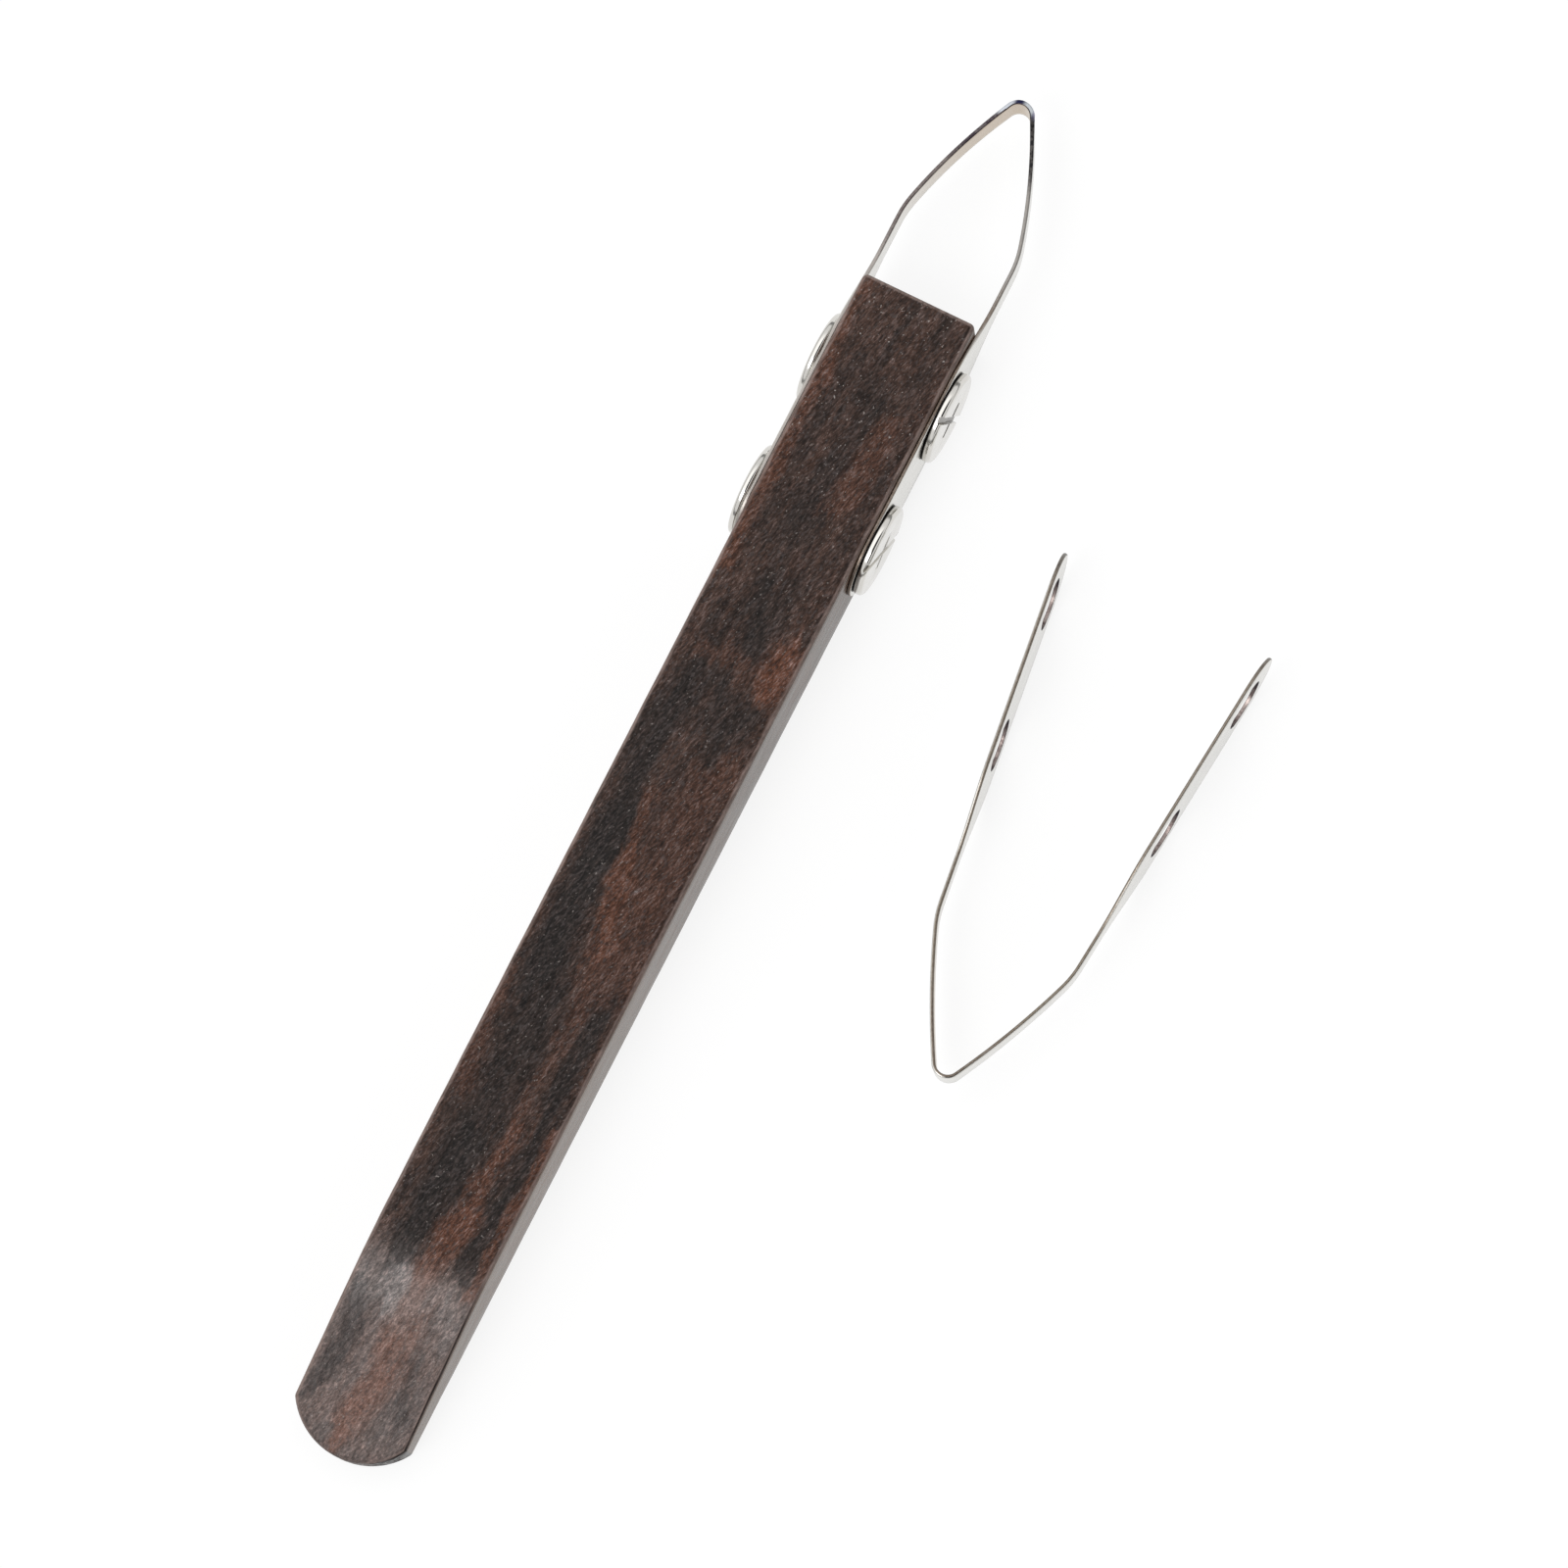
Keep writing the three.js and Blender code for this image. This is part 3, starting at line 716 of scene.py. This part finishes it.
def strip_path(squeeze, reach_to_hole):
    """One half of a strip from its crown to its leg's end: a function that gives the middle line's
    place and heading at a distance from the crown, and the distances where things change."""
    splay = RELAXED_HALF_ANGLE - RELAXED_ARM_BOW - SHOULDER_BEND

    def angles(press):
        half_angle = RELAXED_HALF_ANGLE - press * CROWN_SHARE * splay
        bow = RELAXED_ARM_BOW + press * (1 - CROWN_SHARE) * splay
        start = math.pi / 2 - half_angle
        return start, start + bow, start + bow + SHOULDER_BEND

    start, end, leg = angles(1)
    run = (HANDLE_WIDTH / 2 + STRIP_THICKNESS / 2 - CROWN_RADIUS * math.sin(start)
           - SHOULDER_RADIUS * (math.sin(leg) - math.sin(end)))
    arm = run * (end - start) / (math.sin(end) - math.sin(start))
    start, end, leg = angles(squeeze)
    bends = ((0, start, CROWN_RADIUS * start), (start, end, arm),
             (end, leg, SHOULDER_RADIUS * (leg - end)))
    shoulder = sum(length for _, _, length in bends)

    def at(reach):
        x = y = 0.0
        for low, high, length in bends:
            part = min(max(reach, 0), length)
            radius = length / (high - low)
            heading = low + part / radius
            x += radius * (math.sin(heading) - math.sin(low))
            y += radius * (math.cos(heading) - math.cos(low))
            reach -= part
            if reach <= 0:
                return x, y, heading
        return x + reach * math.cos(leg), y - reach * math.sin(leg), leg

    return at, shoulder, shoulder + reach_to_hole


def smoothstep(value, low, high):
    """0 where the value is low and 1 where it is high, with soft ends."""
    t = min(max((value - low) / (high - low), 0), 1)
    return t * t * (3 - 2 * t)


def make_strip(name, squeeze, reaches, lean, ground, edge, materials, matrix):
    """A strip with the crown at its own origin. The reaches run from each shoulder to the nearer
    hole, left first, and materials hold those of the faces, the edges and the holes' walls."""
    halves = [strip_path(squeeze, reach) for reach in reaches]
    shoulder = halves[0][1]
    shoulder_y = halves[0][0](shoulder)[1]
    radius = LEG_WIDTH / 2

    def half_width(side, reach):
        flare_start = halves[side][2] - FLARE_TO_HOLE - FLARE_LENGTH
        flare = smoothstep(reach, flare_start, flare_start + FLARE_LENGTH)
        crown = max(0, 1 - reach / shoulder) ** 2
        width = NECK_WIDTH + (CROWN_WIDTH - NECK_WIDTH) * crown + (LEG_WIDTH - NECK_WIDTH) * flare
        return width / 2

    def half_stations(side):
        """Distance from the crown, half width and the outline's direction, crown first."""
        hole = halves[side][2]
        spring = hole + POST_PITCH + LEG_END_MARGIN - radius
        flare_end = hole - FLARE_TO_HOLE
        marks = (0, CROWN_STRETCH, GRIND_REACH, shoulder, flare_end - FLARE_LENGTH, flare_end,
                 spring)
        stops = [0.0]
        for low, high, gap in zip(marks, marks[1:], STRIP_GAPS):
            count = max(1, round((high - low) / gap))
            stops += [low + (high - low) * k / count for k in range(1, count + 1)]
        rows = []
        nudge = 0.01  # for the outline's slope
        for reach in stops:
            change = half_width(side, reach + nudge) - half_width(side, reach - nudge)
            slope = change / (2 * nudge)
            length = math.hypot(1, slope)
            rows.append((reach, half_width(side, reach), -slope / length, 1 / length))
        for k in range(1, QUARTER_STEPS + 1):
            t = math.pi / 2 * k / QUARTER_STEPS
            out, along = math.cos(t), math.sin(t)
            rows.append((spring + radius * along, radius * out, along, out))
        return rows

    left = [(-s, w, -ns, nw) for s, w, ns, nw in half_stations(0)]
    stations = left[:0:-1] + half_stations(1)
    thick = STRIP_THICKNESS / 2
    rings = rounded_rings(edge, -thick, thick, STRIP_EDGE_STEPS)
    inner, outer = edge - thick, thick - edge  # the levels where the edge's wall starts and ends
    wall = [(0, inner + (outer - inner) * k / STRIP_WALL_STEPS) for k in range(STRIP_WALL_STEPS)]
    middle = len(rings) // 2
    rings[middle:middle] = wall

    def point(row, across, inset, level):
        s, half, out_s, out_w = stations[row]
        s -= inset * out_s
        half -= inset * out_w
        grind = ground * (1 - smoothstep(abs(s), 0, GRIND_REACH))
        slant = max(0, (level - inner) / (thick - inner))
        z = -half + (2 * half - GRIND_DROP * grind * slant) * (across + 1) / 2
        if across == 1:
            level += GRIND_LIP * grind * slant
        side, sign = (0, -1) if s < 0 else (1, 1)
        x, y, heading = halves[side][0](abs(s))
        rise = max(0, 1 - y / shoulder_y)
        x = sign * x + lean * rise + sign * level * math.sin(heading)
        return Vector((x, y + level * math.cos(heading), z))

    bm = shell(len(stations), STRIP_COLUMNS, rings, point)
    strip = add_object(name, bm, materials, matrix)
    cutters = []
    hole = BARREL_RADIUS + HOLE_CLEARANCE
    end = 1.5  # the cutter's half length
    mouth = hole + end - HOLE_LAND
    profile = ((0, -end), (mouth, -end), (hole, -HOLE_LAND),
               (hole, HOLE_LAND), (mouth, end), (0, end))
    for side, sign in ((0, -1), (1, 1)):
        for step in (0, POST_PITCH):
            x, y, heading = halves[side][0](halves[side][2] + step)
            cutter = turn(profile, HOLE_SIDES)
            lean_over = Matrix.Rotation(-sign * heading, 3, "Z")
            bmesh.ops.rotate(cutter, matrix=lean_over, verts=cutter.verts)
            bmesh.ops.translate(cutter, vec=(sign * x, y, 0), verts=cutter.verts)
            for face in cutter.faces:
                face.material_index = 2
            cutters.append(add_object("hole", cutter, materials, matrix))
    cut(strip, cutters)
    shade(strip, METAL_SMOOTH_ANGLE)
    return strip


# Posts and screws

def head_profile(inner, height):
    """The round head above its bearing face, with a full, evenly curved rim."""
    points = [(inner, 0)]
    foot, rim = FOOT_RISE * height, RIM_DROP * height
    for k in range(CORNER_STEPS + 1):
        t = math.pi / 2 * k / CORNER_STEPS
        points.append((HEAD_RADIUS - FOOT_RUN * (1 - math.sin(t)), foot * (1 - math.cos(t))))
    for k in range(RIM_STEPS + 1):
        t = math.pi / 2 * k / RIM_STEPS
        inset, drop = RIM_RUN * (1 - math.cos(t)), rim * (1 - math.sin(t))
        points.append((HEAD_RADIUS - inset, height - drop))
    points += [(HEAD_RADIUS * share, height) for share in (0.7, 0.35, 0)]  # the flat face
    return points


def fastener_matrix(x, y, spin):
    """Sets a turned piece across the handle, with its bearing face at x."""
    place = Vector((x, y, POST_HEIGHT)) * MM
    return Matrix.Translation(place) @ Matrix.Rotation(spin, 4, "Z")


def make_post(number, y, material):
    tip = BARREL_TIP_GAP - 2 * CLAMP
    bore = THREAD_RADIUS + THREAD_CLEARANCE
    profile = [
        (0, tip + THREAD_BORE_DEPTH), (bore, tip + THREAD_BORE_DEPTH),
        (bore, tip + BARREL_CHAMFER), (bore + BARREL_CHAMFER, tip),
        (BARREL_RADIUS - BARREL_CHAMFER, tip), (BARREL_RADIUS, tip + BARREL_CHAMFER),
        (BARREL_RADIUS, tip / 2), *head_profile(BARREL_RADIUS, POST_HEAD_HEIGHT),
    ]
    matrix = fastener_matrix(-CLAMP, y, math.pi / 2)
    post = add_object(f"binding_post_{number}", turn(profile, POST_SIDES), [material], matrix)
    shade(post, METAL_SMOOTH_ANGLE)
    return post


def make_screw(number, y, slot_turn, material):
    core = THREAD_RADIUS - THREAD_HEIGHT
    tip = -THREAD_LENGTH
    run = THREAD_LENGTH - THREAD_NECK
    shank = [(core, tip + run * k / THREAD_ROWS) for k in range(THREAD_ROWS + 1)]
    profile = [(0, tip), *shank, (core, 0), *head_profile(THREAD_RADIUS, SCREW_HEAD_HEIGHT)[1:]]

    def tooth(radius, height, angle):
        """The thread, which leaves the head as it is."""
        turns = height / THREAD_PITCH - angle / (2 * math.pi)
        saw = abs(2 * (turns - math.floor(turns)) - 1)
        run_in = smoothstep(height, tip, tip + THREAD_FADE)
        run_out = smoothstep(height, -THREAD_NECK, -THREAD_NECK - THREAD_FADE)
        return radius + THREAD_HEIGHT * saw * run_in * run_out

    matrix = fastener_matrix(CLAMP, y, -math.pi / 2)
    bm = turn(profile, SCREW_SIDES, tooth)
    screw = add_object(f"slotted_screw_{number}", bm, [material], matrix)
    cuts = (("slot", SLOT_WIDTH, SLOT_DEPTH, 3 * HEAD_RADIUS),
            ("arm", CROSS_LENGTH, CROSS_DEPTH, SLOT_WIDTH))
    cutters = []
    for name, across, depth, along in cuts:
        box = block((across, 2 * depth, along), (0, SCREW_HEAD_HEIGHT, 0), slot_turn)
        cutters.append(add_object(name, box, [material], matrix))
    cut(screw, cutters)
    bevel(screw, SLOT_EDGE, 2, SLOT_BEVEL_ANGLE)
    shade(screw, METAL_SMOOTH_ANGLE)
    return screw


# Pieces

wood = wood_material()
steel = steel_material()
used_edge = edge_material(
    "used edge",
    left=((172, 166, 161), (172, 166, 161), (112, 103, 101), (68, 60, 66)),
    right=((122, 109, 99), (122, 109, 99), (150, 146, 142), (46, 45, 47)),
    bevel_reflections=((216, 220, 228), (44, 46, 78), (204, 209, 214), (150, 147, 172)),
    bright_from=20,
)
NEW_COLOURS = ((86, 85, 84), (134, 124, 113), (130, 120, 108), (122, 111, 101))
new_edge = edge_material(
    "new edge",
    left=NEW_COLOURS,
    right=NEW_COLOURS,
    bevel_reflections=((190, 188, 184), (170, 166, 160), (180, 177, 172), (190, 188, 184)),
    bright_from=-BRIGHT_FADE,
)
hole_wall = wall_material()
post_nickel = nickel_material("post plating", 0.0)
screw_nickel = nickel_material("screw plating", 1.0)


def keep(piece, body, node):
    """The piece rides on a body and stands in for a CAD node, which is hidden."""
    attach(piece, body)
    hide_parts(node)


keep(make_handle(wood), "tool", "handle")

path_at, shoulder_reach, _ = strip_path(1, HOLE_REACH)
crown_y = POST_PLACES[0] + HOLE_REACH - path_at(shoulder_reach)[1]
mounted = Matrix.Translation(Vector((0, crown_y, POST_HEIGHT)) * MM)
keep(make_strip("loop_strip", 1, (HOLE_REACH, HOLE_REACH), MOUNTED_LEAN, USED_GRIND,
                USED_EDGE_RADIUS, [steel, used_edge, hole_wall], mounted),
     "tool", "blade")

standing = Vector((SPARE_ACROSS, HEAD_END - SPARE_BEHIND_HEAD, LEG_WIDTH / 2)) * MM
spare_matrix = Matrix.Translation(standing) @ Matrix.Rotation(SPARE_TURN, 4, "Z")
keep(make_strip("spare_strip", 0, SPARE_REACHES, 0, NEW_GRIND,
                NEW_EDGE_RADIUS, [steel, new_edge, hole_wall], spare_matrix),
     "spare_blade", "spare_blade")

for number, (place, slot_turn) in enumerate(zip(POST_PLACES, SLOT_TURNS), start=1):
    post_name, screw_name = f"post_{number}", f"screw_{number}"
    keep(make_post(number, place, post_nickel), post_name, post_name)
    keep(make_screw(number, place, slot_turn, screw_nickel), screw_name, screw_name)


# Floor, light and camera

FLOOR_HALF_SIZE = 3000
FLOOR_GAP = 0.02  # the floor lies this far under the object
PAPER = ((0.17, 0.17, 0.17), (0.18, 0.18, 0.18))
PAPER_MOTTLE = 33
PAPER_GLOW = 0.85  # seen by the camera and in reflections, on top of the lit paper

# The room's radiance. Heights and places are on the sphere of directions.
ROOM_SIDES, ROOM_OVERHEAD = 0.92, 1.5
OVERHEAD_FROM, OVERHEAD_TO = 0.55, 0.9
WALL_HEIGHT, WALL_SHADE = 0.1, 0.3
WALL_CORE, WALL_FRINGE = 0.04, 0.2
CAMERA_SHADE = 0.02
CAMERA_PATCH_PLACE = (0.32, -0.1, 0.95)
CAMERA_PATCH_SIZE = (0.36, 0.75)
PATCH_CORE, PATCH_FRINGE = 0.8, 1.15

SOFTBOX_PLACE = (-0.25, -0.75, 1.3)  # metres, as are its aim and size
SOFTBOX_AIM = (0, -0.03, 0)
SOFTBOX_SIZE = 0.7
SOFTBOX_RADIANCE = 3.2

# Fitted to the handle's edges and the two strips in the photograph
SENSOR_WIDTH = 36
FOCAL_LENGTH = 150.75
CLIP_NEAR, CLIP_FAR = 10, 20000
CAMERA_RIGHT = (0.88895, 0.45338, -0.06502)
CAMERA_BACK = (0.13439, -0.12248, 0.98333)
CAMERA_PLACE = (96.442, -64.448, 642.742)


def make_floor():
    bm = bmesh.new()
    bmesh.ops.create_grid(bm, x_segments=1, y_segments=1, size=FLOOR_HALF_SIZE)
    bmesh.ops.translate(bm, vec=(0, 0, -FLOOR_GAP), verts=bm.verts)
    n = Nodes(bpy.data.materials.new("paper"))
    mottle = n.noise((PAPER_MOTTLE, PAPER_MOTTLE, PAPER_MOTTLE))
    paper = n.tree.nodes.new("ShaderNodeBsdfDiffuse")
    n.join(n.mix(mottle, *PAPER), paper.inputs["Color"])
    glow = n.tree.nodes.new("ShaderNodeEmission")
    path = n.tree.nodes.new("ShaderNodeLightPath")
    seen = n.math("MAXIMUM", path.outputs["Is Camera Ray"], path.outputs["Is Glossy Ray"])
    seen = n.math("MAXIMUM", seen, path.outputs["Is Transmission Ray"])
    n.join(n.times(seen, PAPER_GLOW), glow.inputs["Strength"])
    both = n.tree.nodes.new("ShaderNodeAddShader")
    n.join(paper.outputs[0], both.inputs[0])
    n.join(glow.outputs[0], both.inputs[1])
    n.join(both.outputs[0], n.output.inputs["Surface"])
    add_object("floor", bm, [n.owner])


def make_world():
    """A white room, brightest overhead, with a soft dark patch where the camera stands and darker
    walls just above the horizon. The camera itself sees plain white."""
    n = Nodes(bpy.data.worlds.new("studio"), "ShaderNodeOutputWorld")
    bpy.context.scene.world = n.owner
    direction = n.coordinates.outputs["Generated"]
    height = n.parts(direction)[2]
    overhead = n.ramp(height, OVERHEAD_FROM, OVERHEAD_TO, ROOM_SIDES, ROOM_OVERHEAD)
    off_walls = n.math("ABSOLUTE", n.math("SUBTRACT", height, WALL_HEIGHT))
    walls = n.ramp(off_walls, WALL_CORE, WALL_FRINGE, WALL_SHADE, 1.0)
    offset = n.vector("SUBTRACT", direction, CAMERA_PATCH_PLACE)
    shrink = (*(1 / size for size in CAMERA_PATCH_SIZE), 0)
    away = n.vector("LENGTH", n.vector("MULTIPLY", offset, shrink))
    patch = n.ramp(away, PATCH_CORE, PATCH_FRINGE, CAMERA_SHADE, 1.0)
    path = n.tree.nodes.new("ShaderNodeLightPath")
    white = n.math("MAXIMUM", n.math("LESS_THAN", height, 0.0), path.outputs["Is Camera Ray"])
    room = n.tree.nodes.new("ShaderNodeBackground")
    room.inputs["Color"].default_value = (1, 1, 1, 1)
    n.join(n.between(white, n.times(overhead, walls, patch), 1.0), room.inputs["Strength"])
    n.join(room.outputs[0], n.output.inputs["Surface"])


def make_softbox():
    """A square area lamp whose face has the given radiance."""
    data = bpy.data.lights.new("softbox", "AREA")
    data.shape = "SQUARE"
    data.size = SOFTBOX_SIZE
    data.energy = SOFTBOX_RADIANCE * math.pi * SOFTBOX_SIZE ** 2
    lamp = bpy.data.objects.new("softbox", data)
    bpy.context.scene.collection.objects.link(lamp)
    lamp.location = SOFTBOX_PLACE
    facing = Vector(SOFTBOX_AIM) - Vector(SOFTBOX_PLACE)
    lamp.rotation_euler = facing.to_track_quat("-Z", "Y").to_euler()


def make_camera():
    data = bpy.data.cameras.new("camera")
    data.sensor_width = SENSOR_WIDTH
    data.lens = FOCAL_LENGTH
    data.clip_start, data.clip_end = CLIP_NEAR * MM, CLIP_FAR * MM
    camera = bpy.data.objects.new("camera", data)
    bpy.context.scene.collection.objects.link(camera)
    back = Vector(CAMERA_BACK).normalized()
    up = back.cross(Vector(CAMERA_RIGHT).normalized()).normalized()
    right = up.cross(back)
    facing = Matrix((right, up, back)).transposed().to_4x4()
    camera.matrix_world = Matrix.Translation(Vector(CAMERA_PLACE) * MM) @ facing
    bpy.context.scene.camera = camera


make_floor()
make_world()
make_softbox()
make_camera()
bpy.context.scene.view_settings.view_transform = "Standard"
